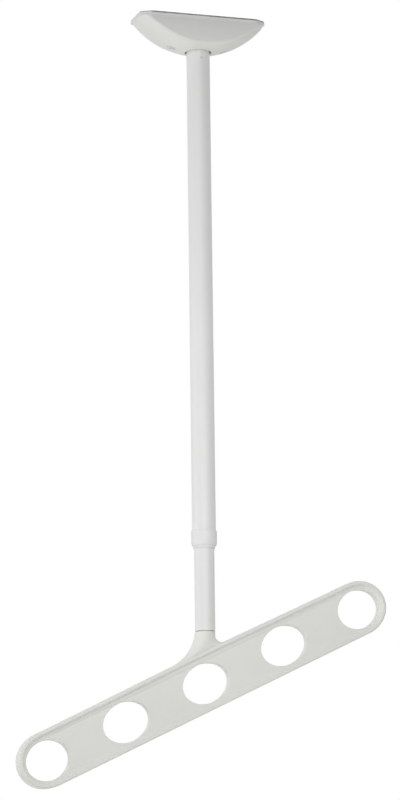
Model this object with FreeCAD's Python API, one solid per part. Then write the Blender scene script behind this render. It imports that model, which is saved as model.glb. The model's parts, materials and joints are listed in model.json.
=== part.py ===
"""Ceiling-mounted hanger for drying poles: canopy, telescopic tube and an arm with five pole holes.

Frame: millimetres, +Z up. The origin is on the ceiling face, on the axis of the tubes, so that everything
hangs at negative Z. X runs along the canopy and the arm, and -Y is the front. At rest the inner tube is
drawn out to its usual height, and the arm lies in the plane of X and Z with its +X end high.
"""
import FreeCAD, Part
import math
import os

# ---- ceiling plate, canopy cover and what holds it ----
plate_thickness = 1.6
plate_inset = 0.5               # the cover stands this much proud of the plate's edge
cover_half_length = 70.0
cover_half_depth = 23.5
cover_end_half_width = 17.4     # half of the straight edge at each end
cover_corner_length = 10.6      # how much of the length each cut corner takes
cover_rim_height = 3.0
cover_drop = 37.2               # ceiling to the lowest point of the dome
cover_end_drop = 6.0            # ceiling to the underside at each end
cover_crown_height = 28.0       # the dome is turned about a line this far above the ceiling
cover_face_bulge = 1.9          # front and back faces swell out by this
cover_wall = 2.0
cover_edge_radius = 3.5         # rounded edge between the faces and the dome
ceiling_hole_radius = 2.75
ceiling_hole_x = 54.0
ceiling_hole_y = 11.0
cover_screw_x = 30.0
recess_radius = 4.5
recess_floor_z = -29.4
recess_floor_thickness = 2.0
boss_radius = 6.5
screw_radius = 2.0              # M4 screws hold the cover
screw_head_radius = 3.9
screw_head_height = 2.2
bracket_inner_x = 21.5
bracket_outer_x = 37.0
bracket_half_width = 7.0
bracket_thickness = 1.5
nut_height = 3.2
nut_flat_radius = 3.5

# ---- tubes and stem ----
outer_tube_radius = 12.5
outer_tube_wall = 1.2
outer_tube_top_z = -8.0
outer_tube_bottom_z = -566.0
inner_tube_radius = 10.55
inner_tube_wall = 1.1
running_gap = 0.07              # radial play of the parts that slide or turn on each other
tube_hole_radius = 14.2         # hole in the cover around the outer tube
stem_gap = 0.1
stem_bore_radius = 7.5
stem_bottom_z = -62.0
flange_radius = 20.0
flange_thickness = 4.0
weld_leg = 2.5
set_screw_radius = 1.5
set_screw_z = -44.0

# ---- lock at the lower end of the outer tube ----
collar_radius = 13.5
collar_top_z = -554.7
collar_height = 18.6
collar_straight_height = 11.6
collar_lip_radius = 11.4
collar_lip_height = 2.0
collet_sleeve_length = 25.0
collet_thread_radius = 12.0
collet_thread_height = 2.5
collet_cone_height = 2.6
collet_tip_radius = 11.3
collet_slit_width = 0.8
collet_slit_count = 4
clearance = 0.3
buffer_height = 3.0

# ---- height travel ----
travel_down = 240.0
travel_up = 84.0
guide_length = 30.0
guide_cap_thickness = 2.0
guide_plug_length = 20.0
guide_screw_radius = 2.5

# ---- swivel joint between the inner tube and the arm ----
joint_z = -660.1                # lower end of the inner tube
thrust_washer_thickness = 0.9
thrust_washer_inset = 2.0        # a thin dark line shows between the tube and the neck
swivel_plug_length = 24.0
shoulder_radius = 4.9
bolt_thread_radius = 4.0
bolt_thread_length = 19.0
bolt_head_radius = 7.5
bolt_head_height = 5.0
washer_thickness = 1.4
washer_radius = 8.6
spring_washer_height = 2.0
spring_washer_split = 1.2

# ---- arm ----
arm_angle = 25.8                # degrees, +X end up
arm_centre_z = -714.1
arm_shift = -1.2                # middle hole from the tube axis, along the arm
arm_thickness = 16.0
arm_top = 30.85                 # middle line of the holes to the upper edge, half way along
arm_top_end = 29.3              # the same at the end holes: the upper edge is slightly crowned
arm_bottom = 27.8               # middle line of the holes to the lower edge
arm_end_reach = 31.35           # end hole centre to the arm's end
arm_end_rise = 0.5              # the arm's tips lie this far above the middle line of the holes
hole_half_height = 20.4
end_hole_half_length = 23.65
inner_hole_half_length = 26.35
hole_web = 42.8                 # metal between neighbouring holes
hole_edge_radius = 0.4
lip_width = 3.3                 # flat lip round the arm
wall_width = 2.6                # steep slope inside the lip
wall_depth = 2.4
ledge_depth = 2.75              # lip to the inner edge of the easy slope below the wall
web_depth = 3.2                 # lip to the flat web
web_margin = 0.5                # the flat web reaches this far past the holes
step_width = 1.3                # small step between the easy slope and the web
arm_edge_radius = 1.5
neck_radius = 10.5
neck_left_blend = 47.0          # radius of the blend on the low side of the arm
neck_right_blend = 6.6          # radius of the blend on the high side
neck_sections = 9               # cross sections drawn from the round top to the arm's lip
neck_section_points = 48
neck_squareness = 3.2           # exponent of the lowest section, 2 being an ellipse
neck_sink = 2.3                 # the lowest section lies this far inside the arm


def vec(x, y, z):
    return FreeCAD.Vector(x, y, z)


up = vec(0, 0, 1)
inner_tube_bottom_z = joint_z
outer_bore_radius = outer_tube_radius - outer_tube_wall
inner_bore_radius = inner_tube_radius - inner_tube_wall
collar_bottom_z = collar_top_z - collar_height
collet_top_z = outer_tube_bottom_z + collet_sleeve_length
buffer_top_z = collet_top_z + buffer_height
guide_bottom_z = buffer_top_z + travel_down + clearance
inner_tube_top_z = guide_bottom_z + guide_length
neck_top_z = joint_z - thrust_washer_thickness
plug_top_z = joint_z + swivel_plug_length


def cylinder(radius, bottom_z, top_z, x=0.0, y=0.0):
    return Part.makeCylinder(radius, top_z - bottom_z, vec(x, y, bottom_z), up)


def ring(outer_radius, inner_radius, bottom_z, top_z, x=0.0, y=0.0):
    outside = cylinder(outer_radius, bottom_z, top_z, x, y)
    return outside.cut(cylinder(inner_radius, bottom_z - 1, top_z + 1, x, y))


def box(x0, x1, y0, y1, z0, z1):
    return Part.makeBox(x1 - x0, y1 - y0, z1 - z0, vec(x0, y0, z0))


def turned(points):
    """Solid turned about Z from a closed outline of (radius, z) points."""
    outline = [vec(radius, 0, z) for radius, z in points]
    face = Part.Face(Part.makePolygon(outline + outline[:1]))
    return face.revolve(vec(0, 0, 0), up, 360)


def hexagon_prism(flat_radius, bottom_z, top_z, x=0.0):
    corner_radius = flat_radius / math.cos(math.radians(30))
    corners = [vec(x + corner_radius * math.cos(math.radians(60 * k)),
                   corner_radius * math.sin(math.radians(60 * k)), bottom_z) for k in range(7)]
    return Part.Face(Part.makePolygon(corners)).extrude(vec(0, 0, top_z - bottom_z))


def both_ends(shape):
    """The shape and its mirror image at the other end of X, as one group."""
    return Part.makeCompound([shape, shape.mirror(vec(0, 0, 0), vec(1, 0, 0))])


# ---- canopy ----
def plan_prism(half_length, half_depth, end_half_width, corner_length, bottom_z, top_z):
    """Rectangle with cut corners, as the canopy is seen from below."""
    straight = half_length - corner_length
    quarter = [(straight, half_depth), (half_length, end_half_width)]
    corners = quarter + [(x, -y) for x, y in reversed(quarter)]
    corners += [(-x, -y) for x, y in quarter] + [(-x, y) for x, y in reversed(quarter)]
    outline = [vec(x, y, bottom_z) for x, y in corners]
    face = Part.Face(Part.makePolygon(outline + outline[:1]))
    return face.extrude(vec(0, 0, top_z - bottom_z))


def dome(inset):
    """Barrel turned about a line along X above the ceiling; its underside is the canopy's keel."""
    rise = cover_drop - cover_end_drop
    keel_radius = (cover_half_length ** 2 + rise ** 2) / (2 * rise) - inset
    keel_z = -cover_drop + inset
    reach = cover_half_length + 5
    end_z = keel_z + keel_radius - math.sqrt(keel_radius ** 2 - reach ** 2)
    keel = Part.Arc(vec(-reach, 0, end_z), vec(0, 0, keel_z), vec(reach, 0, end_z)).toShape()
    axis_line = [vec(reach, 0, end_z), vec(reach, 0, cover_crown_height),
                 vec(-reach, 0, cover_crown_height), vec(-reach, 0, end_z)]
    outline = Part.Wire([keel] + Part.makePolygon(axis_line).Edges)
    return Part.Face(outline).revolve(vec(0, 0, cover_crown_height), vec(1, 0, 0), 360)


def swollen_slab(inset):
    """Slab between the front and back faces, which swell gently outwards."""
    half = cover_half_depth - inset
    low_z = -cover_drop - 3
    high_z = -plate_thickness - cover_rim_height
    middle_z = (low_z + high_z) / 2
    bulge = half + cover_face_bulge
    front = Part.Arc(vec(0, -half, high_z), vec(0, -bulge, middle_z), vec(0, -half, low_z))
    back = Part.Arc(vec(0, half, low_z), vec(0, bulge, middle_z), vec(0, half, high_z))
    bottom = Part.LineSegment(vec(0, -half, low_z), vec(0, half, low_z))
    top = Part.LineSegment(vec(0, half, high_z), vec(0, -half, high_z))
    section = Part.Wire([edge.toShape() for edge in (front, bottom, back, top)])
    length = 2 * cover_half_length + 4
    slab = Part.Face(section).extrude(vec(length, 0, 0))
    slab.translate(vec(-length / 2, 0, 0))
    return slab


def cover_body(inset):
    """The cover's outer form, or its hollow when inset is the wall's thickness."""
    rim_top_z = -plate_thickness
    rim_bottom_z = rim_top_z - cover_rim_height
    swollen_half_depth = cover_half_depth + cover_face_bulge - inset
    hull = plan_prism(cover_half_length - inset, swollen_half_depth, cover_end_half_width - inset / 2,
                      cover_corner_length, -cover_drop - 3, rim_bottom_z)
    hull = hull.common(dome(inset)).common(swollen_slab(inset))
    rim = plan_prism(cover_half_length - inset, cover_half_depth - inset, cover_end_half_width - inset / 2,
                     cover_corner_length, rim_bottom_z, rim_top_z)
    return hull.fuse(rim).removeSplitter()


def keel_edges(shape):
    """The two long edges where the front and back faces meet the dome."""
    found = []
    for edge in shape.Edges:
        bounds = edge.BoundBox
        if bounds.XLength > cover_half_length and bounds.ZMin < -cover_drop / 2:
            found.append(edge)
    return found


def make_canopy_cover():
    outside = cover_body(0)
    outside = outside.makeFillet(cover_edge_radius, keel_edges(outside))
    hollow = cover_body(cover_wall)
    hollow = hollow.fuse(plan_prism(cover_half_length - cover_wall, cover_half_depth - cover_wall,
                                    cover_end_half_width - cover_wall / 2, cover_corner_length,
                                    -plate_thickness - 1, 1))
    cover = outside.cut(hollow)
    boss_top_z = recess_floor_z + recess_floor_thickness
    for side in (-1, 1):
        boss = cylinder(boss_radius, -cover_drop, boss_top_z, side * cover_screw_x)
        cover = cover.fuse(boss.common(outside))
        cover = cover.cut(cylinder(recess_radius, -cover_drop - 1, recess_floor_z, side * cover_screw_x))
        cover = cover.cut(cylinder(screw_radius + clearance, recess_floor_z - 1, boss_top_z + 1,
                                   side * cover_screw_x))
    cover = cover.cut(cylinder(tube_hole_radius, -cover_drop - 1, -cover_drop / 2))
    return cover.removeSplitter()


def make_mount_plate():
    plate = plan_prism(cover_half_length - plate_inset, cover_half_depth - plate_inset,
                       cover_end_half_width - plate_inset / 2, cover_corner_length, -plate_thickness, 0)
    for x in (-ceiling_hole_x, ceiling_hole_x):
        for y in (-ceiling_hole_y, ceiling_hole_y):
            plate = plate.cut(cylinder(ceiling_hole_radius, -plate_thickness - 1, 1, x, y))
    return plate


def make_cover_brackets():
    """C-shaped lugs under the plate, with a toe that carries the cover screw."""
    foot_top = -plate_thickness
    toe_bottom = recess_floor_z + recess_floor_thickness
    half = bracket_half_width
    foot = box(bracket_inner_x, bracket_outer_x, -half, half, foot_top - bracket_thickness, foot_top)
    leg = box(bracket_inner_x, bracket_inner_x + bracket_thickness, -half, half, toe_bottom, foot_top)
    toe = box(bracket_inner_x, bracket_outer_x, -half, half, toe_bottom, toe_bottom + bracket_thickness)
    bracket = foot.fuse(leg).fuse(toe).removeSplitter()
    inner_corners = [edge for edge in bracket.Edges
                     if edge.BoundBox.YLength > half
                     and abs(edge.BoundBox.XMin - bracket_inner_x - bracket_thickness) < 0.01]
    bracket = bracket.makeFillet(bracket_thickness / 2, inner_corners)
    bracket = bracket.cut(cylinder(screw_radius + clearance, toe_bottom - 1,
                                   toe_bottom + bracket_thickness + 1, cover_screw_x))
    return both_ends(bracket)


def make_clip_nuts():
    bottom_z = recess_floor_z + recess_floor_thickness + bracket_thickness
    nut = hexagon_prism(nut_flat_radius, bottom_z, bottom_z + nut_height, cover_screw_x)
    nut = nut.cut(cylinder(screw_radius, bottom_z - 1, bottom_z + nut_height + 1, cover_screw_x))
    return both_ends(nut)


def cross_slots(centre_x, head_z, depth, length, width):
    """Cross recess in the underside of a screw head."""
    along = box(centre_x - length / 2, centre_x + length / 2, -width / 2, width / 2, head_z, head_z + depth)
    across = box(centre_x - width / 2, centre_x + width / 2, -length / 2, length / 2, head_z, head_z + depth)
    return along.fuse(across)


def make_cover_screws():
    head_bottom_z = recess_floor_z - screw_head_height
    shank_top_z = recess_floor_z + 10
    head = cylinder(screw_head_radius, head_bottom_z, recess_floor_z, cover_screw_x)
    lower_edge = [edge for edge in head.Edges if edge.BoundBox.ZMax < head_bottom_z + 0.1]
    head = head.makeFillet(screw_head_height / 2, lower_edge)
    shank = cylinder(screw_radius, recess_floor_z, shank_top_z, cover_screw_x)
    recess = cross_slots(cover_screw_x, head_bottom_z, screw_head_height / 2, screw_head_radius, screw_radius / 2)
    return both_ends(head.fuse(shank).cut(recess))


# ---- stem and tubes ----
def make_stem():
    """Flange and socket stem; the weld runs round the corner between them."""
    flange_bottom = -plate_thickness - flange_thickness
    stem_radius = outer_bore_radius - stem_gap
    profile = [(stem_bore_radius, -plate_thickness),
               (flange_radius, -plate_thickness),
               (flange_radius, flange_bottom + 1),
               (flange_radius - 1, flange_bottom),
               (stem_radius + weld_leg, flange_bottom),
               (stem_radius, flange_bottom - weld_leg),
               (stem_radius, stem_bottom_z + 1),
               (stem_radius - 1, stem_bottom_z),
               (stem_bore_radius, stem_bottom_z)]
    return turned(profile).cut(set_screw_holes())


def set_screw_holes():
    length = 2 * outer_tube_radius + 4
    return Part.makeCylinder(set_screw_radius, length, vec(0, -length / 2, set_screw_z), vec(0, 1, 0))


def make_stem_set_screws():
    """Socket grub screws, front and back, nearly flush with the tube."""
    outer_end = outer_tube_radius - 0.15
    inner_end = stem_bore_radius + 0.4
    socket_radius = set_screw_radius / 2
    socket_depth = 1.6
    front = Part.makeCylinder(set_screw_radius, outer_end - inner_end, vec(0, -inner_end, set_screw_z),
                              vec(0, -1, 0))
    corner_radius = socket_radius / math.cos(math.radians(30))
    corners = [vec(corner_radius * math.cos(math.radians(60 * k)), -outer_end,
                   set_screw_z + corner_radius * math.sin(math.radians(60 * k))) for k in range(7)]
    socket = Part.Face(Part.makePolygon(corners)).extrude(vec(0, socket_depth, 0))
    front = front.cut(socket)
    return Part.makeCompound([front, front.mirror(vec(0, 0, 0), vec(0, 1, 0))])


def make_outer_tube():
    tube = ring(outer_tube_radius, outer_bore_radius, outer_tube_bottom_z, outer_tube_top_z)
    return tube.cut(set_screw_holes())


def make_inner_tube():
    tube = ring(inner_tube_radius, inner_bore_radius, inner_tube_bottom_z, inner_tube_top_z)
    return tube.cut(plug_screw_hole())


# ---- lock ----
def make_lock_collar():
    """Turning sleeve: it skirts the tube, threads on the collet and squeezes the collet's cone."""
    skirt_bore = outer_tube_radius + running_gap
    thread_bore = collet_thread_radius + running_gap
    skirt_end_z = outer_tube_bottom_z - clearance
    thread_end_z = outer_tube_bottom_z - collet_thread_height
    cone_end_z = thread_end_z - collet_cone_height - clearance
    lip_top_z = collar_bottom_z + collar_lip_height
    shoulder_z = collar_top_z - collar_straight_height
    lip_bore = inner_tube_radius + clearance
    tip_bore = collet_tip_radius + clearance
    top = collar_top_z
    outline = [(skirt_bore, top), (collar_radius - 0.4, top), (collar_radius, top - 0.4),
               (collar_radius, shoulder_z)]
    bend = (collar_radius - collar_lip_radius, shoulder_z - lip_top_z)
    steps = 6
    for step in range(1, steps + 1):
        turn = math.radians(90 * step / steps)
        outline.append((collar_lip_radius + bend[0] * math.cos(turn), shoulder_z - bend[1] * math.sin(turn)))
    outline += [(collar_lip_radius, collar_bottom_z + 0.4), (collar_lip_radius - 0.4, collar_bottom_z),
                (lip_bore, collar_bottom_z), (lip_bore, cone_end_z), (tip_bore, cone_end_z),
                (thread_bore, thread_end_z), (thread_bore, skirt_end_z), (skirt_bore, skirt_end_z)]
    return turned(outline)


def make_lock_collet():
    """Sleeve pressed into the tube's end, with a threaded band and a slit cone below it."""
    bore = inner_tube_radius + running_gap
    band_end_z = outer_tube_bottom_z - collet_thread_height
    tip_z = band_end_z - collet_cone_height
    outline = [(bore, collet_top_z), (outer_bore_radius, collet_top_z),
               (outer_bore_radius, outer_tube_bottom_z), (collet_thread_radius, outer_tube_bottom_z),
               (collet_thread_radius, band_end_z), (collet_tip_radius, tip_z), (bore, tip_z)]
    collet = turned(outline)
    slit_top_z = outer_tube_bottom_z + 8
    half = collet_slit_width / 2
    slit = box(0, outer_tube_radius + 1, -half, half, tip_z - 1, slit_top_z)
    for number in range(collet_slit_count):
        angle = 45 + 360 / collet_slit_count * number
        collet = collet.cut(slit.rotated(vec(0, 0, 0), up, angle))
    return collet


def make_buffer_ring():
    return ring(outer_bore_radius - running_gap, inner_tube_radius + clearance / 2, collet_top_z, buffer_top_z)


# ---- top of the inner tube ----
def make_guide_bush():
    """Nylon bush over the tube's top end; its cap keeps it from sliding down."""
    bush_radius = outer_bore_radius - running_gap
    sleeve = ring(bush_radius, inner_tube_radius, guide_bottom_z, inner_tube_top_z)
    cap = ring(bush_radius, guide_screw_radius + clearance, inner_tube_top_z,
               inner_tube_top_z + guide_cap_thickness)
    return sleeve.fuse(cap).removeSplitter()


def make_guide_plug():
    plug = cylinder(inner_bore_radius, inner_tube_top_z - guide_plug_length, inner_tube_top_z)
    return plug.cut(cylinder(guide_screw_radius, inner_tube_top_z - guide_plug_length + 4,
                             inner_tube_top_z + 1))


def make_guide_screw():
    head_bottom = inner_tube_top_z + guide_cap_thickness
    head_height = 3.0
    head = cylinder(2 * guide_screw_radius, head_bottom, head_bottom + head_height)
    upper_edge = [edge for edge in head.Edges if edge.BoundBox.ZMin > head_bottom + head_height / 2]
    head = head.makeFillet(head_height / 2, upper_edge)
    shank = cylinder(guide_screw_radius, head_bottom - 14, head_bottom)
    recess = cross_slots(0, head_bottom + head_height / 2, head_height / 2, 5.5, 1.2)
    return head.fuse(shank).cut(recess)


# ---- swivel ----
def plug_screw_hole():
    """Radial hole at the back for the screw that holds the plug."""
    middle_z = joint_z + swivel_plug_length / 2
    return Part.makeCylinder(screw_radius, inner_tube_radius, vec(0, shoulder_radius + 1.5, middle_z),
                             vec(0, 1, 0))


def make_swivel_plug():
    plug = ring(inner_bore_radius, shoulder_radius + running_gap, joint_z, plug_top_z)
    return plug.cut(plug_screw_hole())


def make_plug_screw():
    middle_z = joint_z + swivel_plug_length / 2
    inner_end = shoulder_radius + 1.5
    screw = Part.makeCylinder(screw_radius, inner_tube_radius - inner_end - 0.1,
                              vec(0, inner_end, middle_z), vec(0, 1, 0))
    slot = box(-screw_radius, screw_radius, inner_tube_radius - 1, inner_tube_radius,
               middle_z - 0.35, middle_z + 0.35)
    return screw.cut(slot)


def make_thrust_washer():
    return ring(inner_tube_radius - thrust_washer_inset, shoulder_radius + clearance, neck_top_z + 0.03, joint_z)


def make_flat_washer():
    return ring(washer_radius, shoulder_radius + clearance, plug_top_z, plug_top_z + washer_thickness)


def make_spring_washer():
    bottom_z = plug_top_z + washer_thickness
    top_z = bottom_z + spring_washer_height
    washer = ring(washer_radius - 0.4, shoulder_radius + clearance, bottom_z, top_z)
    half = spring_washer_split / 2
    return washer.cut(box(0, washer_radius, -half, half, bottom_z, top_z))


def make_swivel_bolt():
    """Shoulder bolt: its shoulder seats on the neck and its head holds the washers."""
    head_bottom = plug_top_z + washer_thickness + spring_washer_height + 0.03
    head_top = head_bottom + bolt_head_height
    shoulder = cylinder(shoulder_radius, neck_top_z, head_bottom)
    thread = cylinder(bolt_thread_radius, neck_top_z - bolt_thread_length, neck_top_z)
    head = cylinder(bolt_head_radius, head_bottom, head_top)
    socket = hexagon_prism(3.0, head_top - 3, head_top + 1)
    return shoulder.fuse(thread).fuse(head).removeSplitter().cut(socket)


# ---- arm ----
def arm_hole_places():
    """Centre along the arm and half length of each hole, low end first."""
    inner_pitch = 2 * inner_hole_half_length + hole_web
    outer_pitch = inner_hole_half_length + hole_web + end_hole_half_length
    far = inner_pitch + outer_pitch
    return [(-far, end_hole_half_length), (-inner_pitch, inner_hole_half_length),
            (0.0, inner_hole_half_length),
            (inner_pitch, inner_hole_half_length), (far, end_hole_half_length)]


def oval_edge(centre_x, half_length, half_height, y):
    """Ellipse in a plane across Y."""
    if half_length >= half_height:
        oval = Part.Ellipse(vec(centre_x + half_length, y, 0), vec(centre_x, y, half_height),
                            vec(centre_x, y, 0))
    else:
        oval = Part.Ellipse(vec(centre_x, y, half_height), vec(centre_x + half_length, y, 0),
                            vec(centre_x, y, 0))
    return oval.toShape()


def arm_outline(y, top_mid, top_end, bottom, reach):
    """Long outline with a slightly crowned upper edge and half-oval ends."""
    far = arm_hole_places()[-1][0]
    crown = Part.BSplineCurve()
    crown.interpolate([vec(-far, y, top_end), vec(0, y, top_mid), vec(far, y, top_end)],
                      InitialTangent=vec(1, 0, 0), FinalTangent=vec(1, 0, 0))
    edges = [crown.toShape(), Part.LineSegment(vec(far, y, -bottom), vec(-far, y, -bottom)).toShape()]
    for side in (-1, 1):
        middle = vec(side * far, y, arm_end_rise)
        tip = vec(side * (far + reach), y, arm_end_rise)
        upper = Part.Ellipse(tip, vec(side * far, y, top_end), middle)
        lower = Part.Ellipse(tip, vec(side * far, y, -bottom), middle)
        edges += [upper.toShape(0, math.pi / 2), lower.toShape(0, math.pi / 2)]
    return Part.Wire(Part.__sortEdges__(edges))


def inset_outline(y, inset):
    return arm_outline(y, arm_top - inset, arm_top_end - inset, arm_bottom - inset, arm_end_reach - inset)


def arm_recess(side):
    """Shallow pocket in one face: a steep wall inside the lip, an easy slope and a small step down to the web."""
    face_y = arm_thickness / 2
    foot_inset = lip_width + wall_width
    foot_bottom = arm_bottom - foot_inset
    foot_reach = arm_end_reach - foot_inset
    web_reach = hole_half_height + web_margin
    ledge_top = web_reach + step_width
    ledge_bottom = (foot_bottom + web_reach) / 2
    web_end = end_hole_half_length + web_margin
    ledge_end = (foot_reach + web_end) / 2
    sections = [inset_outline(side * (face_y + 1), lip_width - wall_width / wall_depth),
                inset_outline(side * (face_y - wall_depth), foot_inset),
                arm_outline(side * (face_y - ledge_depth), ledge_top, ledge_top, ledge_bottom, ledge_end),
                arm_outline(side * (face_y - web_depth), web_reach, web_reach, web_reach, web_end)]
    return Part.makeLoft(sections, True, True)


def arm_bar():
    face_y = arm_thickness / 2
    bar = Part.Face(inset_outline(-face_y, 0)).extrude(vec(0, arm_thickness, 0))
    rims = [edge for edge in bar.Edges if edge.BoundBox.YLength < 0.01]
    bar = bar.makeFillet(arm_edge_radius, rims)
    for side in (-1, 1):
        bar = bar.cut(arm_recess(side))
    for centre_x, half_length in arm_hole_places():
        oval = Part.Face(Part.Wire(oval_edge(centre_x, half_length, hole_half_height, -face_y - 1)))
        bar = bar.cut(oval.extrude(vec(0, arm_thickness + 2, 0)))
    web_y = face_y - web_depth
    hole_edges = [edge for edge in bar.Edges
                  if edge.isClosed() and edge.BoundBox.YLength < 0.01
                  and abs(abs(edge.BoundBox.YMin) - web_y) < 0.01]
    return bar.makeFillet(hole_edge_radius, hole_edges)


def placed_on_pole(shape):
    """Tilts the arm and puts its middle hole just beside the tube axis."""
    shape = shape.copy()
    shape.translate(vec(arm_shift, 0, 0))
    shape.rotate(vec(0, 0, 0), vec(0, 1, 0), -arm_angle)
    shape.translate(vec(0, 0, arm_centre_z))
    return shape


def neck_side_point(side, radius, share):
    """Point of the neck's side view: straight down from its top, then along the blend to the arm's edge."""
    tilt = math.radians(arm_angle)
    centre_x = side * (neck_radius + radius)
    edge_z = arm_centre_z + centre_x * math.tan(tilt) + arm_top / math.cos(tilt)
    centre_z = edge_z + radius / math.cos(tilt)
    straight = max(neck_top_z - centre_z, 0.0)
    first = math.asin(max(centre_z - neck_top_z, 0.0) / radius)
    last = math.pi / 2 + side * tilt
    travelled = share * (straight + radius * (last - first))
    if travelled < straight:
        return vec(side * neck_radius, 0, neck_top_z - travelled)
    turn = first + (travelled - straight) / radius
    return vec(centre_x - side * radius * math.cos(turn), 0, centre_z - radius * math.sin(turn))


def neck_section(left, right, half_depth, squareness):
    """Closed curve between two points of the side view: round when squareness is 2, boxy when high."""
    middle = (left + right) * 0.5
    reach = (right - left) * 0.5
    points = []
    for number in range(neck_section_points):
        turn = 2 * math.pi * number / neck_section_points
        along = math.copysign(abs(math.cos(turn)) ** (2 / squareness), math.cos(turn))
        across = math.copysign(abs(math.sin(turn)) ** (2 / squareness), math.sin(turn))
        points.append(middle + reach * along + vec(0, half_depth * across, 0))
    curve = Part.BSplineCurve()
    curve.interpolate(points, PeriodicFlag=True)
    return Part.Wire(curve.toShape())


def make_neck():
    """Round neck that flares and flattens into the arm's lip."""
    sections = []
    for number in range(neck_sections):
        share = number / (neck_sections - 1)
        ease = share * share * (3 - 2 * share)
        left = neck_side_point(-1, neck_left_blend, share)
        right = neck_side_point(1, neck_right_blend, share)
        half_depth = neck_radius + (arm_thickness / 2 + 0.2 - neck_radius) * share
        sections.append(neck_section(left, right, half_depth, 2 + (neck_squareness - 2) * ease ** 2))
    tilt = math.radians(arm_angle)
    sink = vec(math.sin(tilt), 0, -math.cos(tilt)) * neck_sink
    sections.append(neck_section(left + sink, right + sink, arm_thickness / 2 - 0.05, neck_squareness))
    return Part.makeLoft(sections, True)


def make_arm_casting():
    casting = placed_on_pole(arm_bar()).fuse(make_neck())
    casting = casting.cut(cylinder(bolt_thread_radius, neck_top_z - bolt_thread_length - 1, neck_top_z + 1))
    return casting.removeSplitter()


parts = {
    "mount_plate": make_mount_plate,
    "stem": make_stem,
    "cover_brackets": make_cover_brackets,
    "clip_nuts": make_clip_nuts,
    "canopy_cover": make_canopy_cover,
    "cover_screws": make_cover_screws,
    "stem_set_screws": make_stem_set_screws,
    "outer_tube": make_outer_tube,
    "lock_collet": make_lock_collet,
    "buffer_ring": make_buffer_ring,
    "lock_collar": make_lock_collar,
    "inner_tube": make_inner_tube,
    "guide_bush": make_guide_bush,
    "guide_plug": make_guide_plug,
    "guide_screw": make_guide_screw,
    "swivel_plug": make_swivel_plug,
    "plug_screw": make_plug_screw,
    "thrust_washer": make_thrust_washer,
    "flat_washer": make_flat_washer,
    "spring_washer": make_spring_washer,
    "swivel_bolt": make_swivel_bolt,
    "arm_casting": make_arm_casting,
}

os.makedirs("parts", exist_ok=True)
for name, make in parts.items():
    shape = make()
    print(name, "valid", shape.isValid(), "solids", len(shape.Solids), "volume", round(shape.Volume))
    shape.exportStep("parts/" + name + ".step")
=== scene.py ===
import json
import math

import bmesh
import bpy
from mathutils import Matrix, Vector

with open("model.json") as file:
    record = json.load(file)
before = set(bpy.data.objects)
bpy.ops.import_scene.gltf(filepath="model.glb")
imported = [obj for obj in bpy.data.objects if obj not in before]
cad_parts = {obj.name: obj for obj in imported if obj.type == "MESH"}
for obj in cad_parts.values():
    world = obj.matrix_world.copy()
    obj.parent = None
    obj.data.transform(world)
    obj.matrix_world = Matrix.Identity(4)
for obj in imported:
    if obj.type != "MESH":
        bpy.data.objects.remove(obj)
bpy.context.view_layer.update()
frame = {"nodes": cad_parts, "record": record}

# ---- view: metres and degrees ----
camera_sensor = 36.0             # mm, along the picture's long side
camera_lens = 151.0425           # mm
camera_reach = 50.0              # nothing further off is drawn
camera_distance = 3.465          # from the tube's axis, measured level
camera_height = -1.092           # below the ceiling
camera_azimuth = 18.0            # to the left of the object's front
camera_pitch = 11.05             # upward
camera_pan = -0.04               # off the tube's axis
camera_roll = -0.71

# ---- studio ----
backdrop_white = (1.0, 1.0, 1.0, 1.0)
backdrop_light = 0.99            # light from the white backdrop, fading to none at the front of the room
floor_white = (0.95, 0.95, 0.94, 1.0)
floor_roughness = 0.7
floor_z = -2.3
floor_half_size = 12.0

# each softbox: name, where it stands, what it points at, width and height, watts
softboxes = [
    ("front_top", (-0.5, -1.4, 0.4), (0.0, 0.0, -0.6), (1.2, 1.0), 5.2),
    ("left", (-1.6, 0.15, -0.7), (0.0, 0.0, -0.6), (2.2, 1.6), 9.2),
    ("near_front", (-0.1, -0.8, -0.52), (0.0, 0.0, -0.5), (0.9, 0.45), 3.25),
    ("back_low", (0.2, 1.1, -1.7), (0.0, 0.0, -0.65), (1.6, 1.0), 4.0),
]

# ---- colours, linear ----
tube_white = (0.825, 0.825, 0.82)
arm_white = (0.835, 0.84, 0.80)
cover_white = (0.775, 0.775, 0.752)
collar_white = (0.83, 0.83, 0.825)
zinc_dark = (0.56, 0.57, 0.59)
zinc_bright = (0.68, 0.69, 0.71)
steel_dark = (0.62, 0.62, 0.63)
steel_bright = (0.72, 0.72, 0.72)
nylon_pale = (0.74, 0.73, 0.67)
nylon_deep = (0.68, 0.67, 0.61)
rubber_black = (0.025, 0.025, 0.025)
rubber_dusty = (0.05, 0.05, 0.05)
aluminium_bright = (0.74, 0.75, 0.76)
aluminium_dull = (0.66, 0.67, 0.68)


def add_camera():
    azimuth = math.radians(camera_azimuth)
    data = bpy.data.cameras.new("camera")
    data.sensor_width = camera_sensor
    data.sensor_fit = "AUTO"
    data.lens = camera_lens
    data.clip_end = camera_reach
    camera = bpy.data.objects.new("camera", data)
    bpy.context.scene.collection.objects.link(camera)
    place = Vector((-camera_distance * math.sin(azimuth),
                    -camera_distance * math.cos(azimuth),
                    camera_height))
    heading = math.radians(camera_azimuth + camera_pan)
    pitch = math.radians(camera_pitch)
    forward = Vector((math.sin(heading) * math.cos(pitch),
                      math.cos(heading) * math.cos(pitch),
                      math.sin(pitch)))
    right = Vector((math.cos(heading), -math.sin(heading), 0.0))
    upward = right.cross(forward)
    turn = Matrix((right, upward, -forward)).transposed().to_4x4()
    roll = Matrix.Rotation(math.radians(camera_roll), 4, "Z")
    camera.matrix_world = Matrix.Translation(place) @ turn @ roll
    bpy.context.scene.camera = camera


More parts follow.
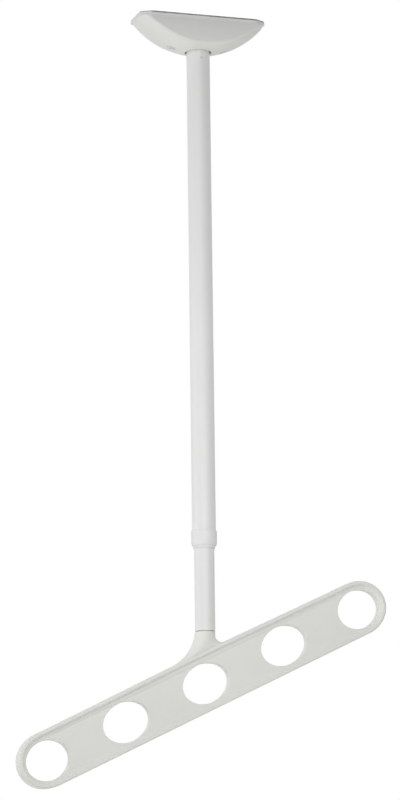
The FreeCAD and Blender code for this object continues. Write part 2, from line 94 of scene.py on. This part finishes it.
def add_softbox(name, place, target, size, power):
    data = bpy.data.lights.new(name, "AREA")
    data.shape = "RECTANGLE"
    data.size, data.size_y = size
    data.energy = power
    light = bpy.data.objects.new(name, data)
    light.location = place
    direction = Vector(target) - Vector(place)
    light.rotation_euler = direction.to_track_quat("-Z", "Y").to_euler()
    bpy.context.scene.collection.objects.link(light)


def add_world():
    """Seen as plain white. Its light comes mostly from behind the object, as from an overlit backdrop."""
    world = bpy.data.worlds.new("studio")
    bpy.context.scene.world = world
    world.use_nodes = True
    tree = world.node_tree
    seen = tree.nodes["Background"]
    seen.inputs["Color"].default_value = backdrop_white
    seen.inputs["Strength"].default_value = 1.0
    glow = tree.nodes.new("ShaderNodeBackground")
    glow.inputs["Color"].default_value = backdrop_white
    direction = tree.nodes.new("ShaderNodeTexCoord")
    axes = tree.nodes.new("ShaderNodeSeparateXYZ")
    fade = tree.nodes.new("ShaderNodeMapRange")
    fade.inputs["From Min"].default_value = -1.0
    fade.inputs["From Max"].default_value = 1.0
    fade.inputs["To Max"].default_value = backdrop_light
    tree.links.new(direction.outputs["Generated"], axes.inputs["Vector"])
    tree.links.new(axes.outputs["Y"], fade.inputs["Value"])
    tree.links.new(fade.outputs["Result"], glow.inputs["Strength"])
    rays = tree.nodes.new("ShaderNodeLightPath")
    mix = tree.nodes.new("ShaderNodeMixShader")
    tree.links.new(rays.outputs["Is Camera Ray"], mix.inputs["Fac"])
    tree.links.new(glow.outputs["Background"], mix.inputs[1])
    tree.links.new(seen.outputs["Background"], mix.inputs[2])
    tree.links.new(mix.outputs["Shader"], tree.nodes["World Output"].inputs["Surface"])


def add_floor():
    mesh = bpy.data.meshes.new("floor")
    grid = bmesh.new()
    bmesh.ops.create_grid(grid, x_segments=1, y_segments=1, size=floor_half_size)
    grid.to_mesh(mesh)
    grid.free()
    floor = bpy.data.objects.new("floor", mesh)
    floor.location = (0.0, 0.0, floor_z)
    bpy.context.scene.collection.objects.link(floor)
    material = bpy.data.materials.new("studio_floor")
    material.use_nodes = True
    shader = material.node_tree.nodes["Principled BSDF"]
    shader.inputs["Base Color"].default_value = floor_white
    shader.inputs["Roughness"].default_value = floor_roughness
    floor.data.materials.append(material)


# ---- material building blocks ----
def object_space(tree, stretch=(1.0, 1.0, 1.0)):
    """Object coordinates in metres, stretched along an axis for lines that run along it."""
    place = tree.nodes.new("ShaderNodeTexCoord")
    mapping = tree.nodes.new("ShaderNodeMapping")
    mapping.inputs["Scale"].default_value = stretch
    tree.links.new(place.outputs["Object"], mapping.inputs["Vector"])
    return mapping.outputs["Vector"]


def noise(tree, scale, detail=2.0, stretch=(1.0, 1.0, 1.0)):
    node = tree.nodes.new("ShaderNodeTexNoise")
    node.inputs["Scale"].default_value = scale
    node.inputs["Detail"].default_value = detail
    tree.links.new(object_space(tree, stretch), node.inputs["Vector"])
    return node.outputs["Fac"]


def cells(tree, scale):
    node = tree.nodes.new("ShaderNodeTexVoronoi")
    node.inputs["Scale"].default_value = scale
    tree.links.new(object_space(tree), node.inputs["Vector"])
    return node.outputs["Distance"]


def rings(tree, scale, axis, distortion):
    """Turning marks: fine rings round Z, stacked along it or spreading from it."""
    node = tree.nodes.new("ShaderNodeTexWave")
    if axis == "stacked":
        node.wave_type = "BANDS"
        node.bands_direction = "Z"
    else:
        node.wave_type = "RINGS"
        node.rings_direction = "Z"
    node.inputs["Scale"].default_value = scale
    node.inputs["Distortion"].default_value = distortion
    node.inputs["Detail"].default_value = 2.0
    tree.links.new(object_space(tree), node.inputs["Vector"])
    return node.outputs["Fac"]


def spread(tree, factor, low=0.0, high=1.0, from_low=0.3, from_high=0.7):
    """Turns a pattern into a number between low and high."""
    node = tree.nodes.new("ShaderNodeMapRange")
    node.inputs["From Min"].default_value = from_low
    node.inputs["From Max"].default_value = from_high
    node.inputs["To Min"].default_value = low
    node.inputs["To Max"].default_value = high
    tree.links.new(factor, node.inputs["Value"])
    return node.outputs["Result"]


def tint(tree, factor, one, other):
    """Mixes two colours by a pattern."""
    node = tree.nodes.new("ShaderNodeMix")
    node.data_type = "RGBA"
    node.inputs["A"].default_value = (*one, 1.0)
    node.inputs["B"].default_value = (*other, 1.0)
    tree.links.new(factor, node.inputs["Factor"])
    return node.outputs["Result"]


def relief(tree, height, depth, below=None):
    """Bump of a pattern, with its depth in metres, on top of another bump."""
    node = tree.nodes.new("ShaderNodeBump")
    node.inputs["Strength"].default_value = 1.0
    node.inputs["Distance"].default_value = depth
    tree.links.new(height, node.inputs["Height"])
    if below is not None:
        tree.links.new(below, node.inputs["Normal"])
    return node.outputs["Normal"]


def shaded(colour, amount):
    return tuple(channel * amount for channel in colour)


def start(name):
    material = bpy.data.materials.new(name)
    material.use_nodes = True
    tree = material.node_tree
    return material, tree, tree.nodes["Principled BSDF"]


def connect(tree, shader, colour, roughness, normal):
    tree.links.new(colour, shader.inputs["Base Color"])
    tree.links.new(roughness, shader.inputs["Roughness"])
    tree.links.new(normal, shader.inputs["Normal"])


# ---- materials ----
def tube_coat():
    """Satin baked coat on drawn aluminium tube: orange peel over faint drawing lines."""
    material, tree, shader = start("tube_coat")
    cloud = spread(tree, noise(tree, scale=7.0))
    lines = noise(tree, scale=520.0, stretch=(1.0, 1.0, 0.01))
    peel = noise(tree, scale=620.0, detail=3.0)
    colour = tint(tree, cloud, tube_white, shaded(tube_white, 0.975))
    roughness = spread(tree, noise(tree, scale=60.0), low=0.34, high=0.42)
    normal = relief(tree, lines, depth=0.00003)
    normal = relief(tree, peel, depth=0.00004, below=normal)
    connect(tree, shader, colour, roughness, normal)
    shader.inputs["Coat Weight"].default_value = 0.15
    shader.inputs["Coat Roughness"].default_value = 0.2
    return material


def arm_coat():
    """Satin powder coat on a die casting: fine grain, orange peel and a slow waviness under it."""
    material, tree, shader = start("arm_coat")
    cloud = spread(tree, noise(tree, scale=11.0))
    grain = noise(tree, scale=2400.0)
    peel = noise(tree, scale=480.0, detail=3.0)
    wave = noise(tree, scale=45.0, detail=1.0)
    colour = tint(tree, cloud, arm_white, shaded(arm_white, 0.97))
    roughness = spread(tree, grain, low=0.42, high=0.52)
    normal = relief(tree, wave, depth=0.00012)
    normal = relief(tree, peel, depth=0.00005, below=normal)
    normal = relief(tree, grain, depth=0.00001, below=normal)
    connect(tree, shader, colour, roughness, normal)
    return material


def moulded_plastic(name, white, grain_depth):
    """Moulded plastic with a fine spark-eroded grain and faint flow clouds."""
    material, tree, shader = start(name)
    flow = spread(tree, noise(tree, scale=18.0, detail=3.0, stretch=(0.4, 1.0, 1.0)))
    grain = noise(tree, scale=2800.0, detail=3.0)
    sink = noise(tree, scale=30.0, detail=1.0)
    colour = tint(tree, flow, white, shaded(white, 0.975))
    roughness = spread(tree, grain, low=0.40, high=0.50)
    normal = relief(tree, sink, depth=0.00008)
    normal = relief(tree, grain, depth=grain_depth, below=normal)
    connect(tree, shader, colour, roughness, normal)
    return material


def screw_paint():
    """White painted screws."""
    material, tree, shader = start("screw_paint")
    cloud = noise(tree, scale=300.0)
    colour = tint(tree, cloud, cover_white, shaded(cover_white, 0.93))
    roughness = spread(tree, cloud, low=0.30, high=0.42)
    normal = relief(tree, noise(tree, scale=1500.0), depth=0.00002)
    connect(tree, shader, colour, roughness, normal)
    return material


def zinc_sheet():
    """Zinc plated pressed steel: soft crystal patches and rolling lines."""
    material, tree, shader = start("zinc_sheet")
    patches = cells(tree, scale=160.0)
    lines = noise(tree, scale=400.0, detail=3.0, stretch=(0.02, 1.0, 1.0))
    colour = tint(tree, spread(tree, patches, from_low=0.1, from_high=0.8), zinc_dark, zinc_bright)
    roughness = spread(tree, patches, low=0.30, high=0.46, from_low=0.1, from_high=0.8)
    connect(tree, shader, colour, roughness, relief(tree, lines, depth=0.00002))
    shader.inputs["Metallic"].default_value = 1.0
    return material


def screw_steel():
    """Bright plated steel with turning marks."""
    material, tree, shader = start("bright_screw")
    marks = rings(tree, scale=900.0, axis="spreading", distortion=1.5)
    colour = tint(tree, noise(tree, scale=220.0), steel_dark, steel_bright)
    roughness = spread(tree, noise(tree, scale=500.0), low=0.22, high=0.36)
    connect(tree, shader, colour, roughness, relief(tree, marks, depth=0.00001))
    shader.inputs["Metallic"].default_value = 1.0
    return material


def nylon():
    """Natural nylon, slightly milky."""
    material, tree, shader = start("nylon")
    cloud = noise(tree, scale=120.0)
    colour = tint(tree, cloud, nylon_pale, nylon_deep)
    roughness = spread(tree, cloud, low=0.42, high=0.55)
    normal = relief(tree, noise(tree, scale=900.0), depth=0.00003)
    connect(tree, shader, colour, roughness, normal)
    return material


def rubber():
    """Dull black rubber with a trace of dust."""
    material, tree, shader = start("rubber")
    dust = noise(tree, scale=700.0, detail=4.0)
    colour = tint(tree, dust, rubber_black, rubber_dusty)
    roughness = spread(tree, dust, low=0.70, high=0.90)
    connect(tree, shader, colour, roughness, relief(tree, dust, depth=0.00005))
    return material


def turned_aluminium():
    """Bare aluminium with turning marks stacked along its axis."""
    material, tree, shader = start("turned_aluminium")
    marks = rings(tree, scale=1200.0, axis="stacked", distortion=0.5)
    colour = tint(tree, noise(tree, scale=90.0), aluminium_bright, aluminium_dull)
    roughness = spread(tree, marks, low=0.26, high=0.38)
    connect(tree, shader, colour, roughness, relief(tree, marks, depth=0.00002))
    shader.inputs["Metallic"].default_value = 1.0
    return material


def finish_nodes():
    """Gives each CAD node the finish of the record's material slot it belongs to."""
    finishes = {
        "white_cover": moulded_plastic("cover_plastic", cover_white, grain_depth=0.000025),
        "white_collar": moulded_plastic("collar_plastic", collar_white, grain_depth=0.000015),
        "white_tube_coat": tube_coat(),
        "white_arm_coat": arm_coat(),
        "white_screw_paint": screw_paint(),
        "zinc_steel": zinc_sheet(),
        "screw_steel": screw_steel(),
        "natural_nylon": nylon(),
        "black_rubber": rubber(),
        "plain_aluminium": turned_aluminium(),
    }
    for subpart in frame["record"]["subparts"]:
        piece = frame["nodes"][subpart["node"]]
        for slot in piece.material_slots:
            slot.material = finishes[subpart["material_slot"]]


add_camera()
add_world()
add_floor()
finish_nodes()
for softbox in softboxes:
    add_softbox(*softbox)
bpy.context.scene.view_settings.view_transform = "Standard"
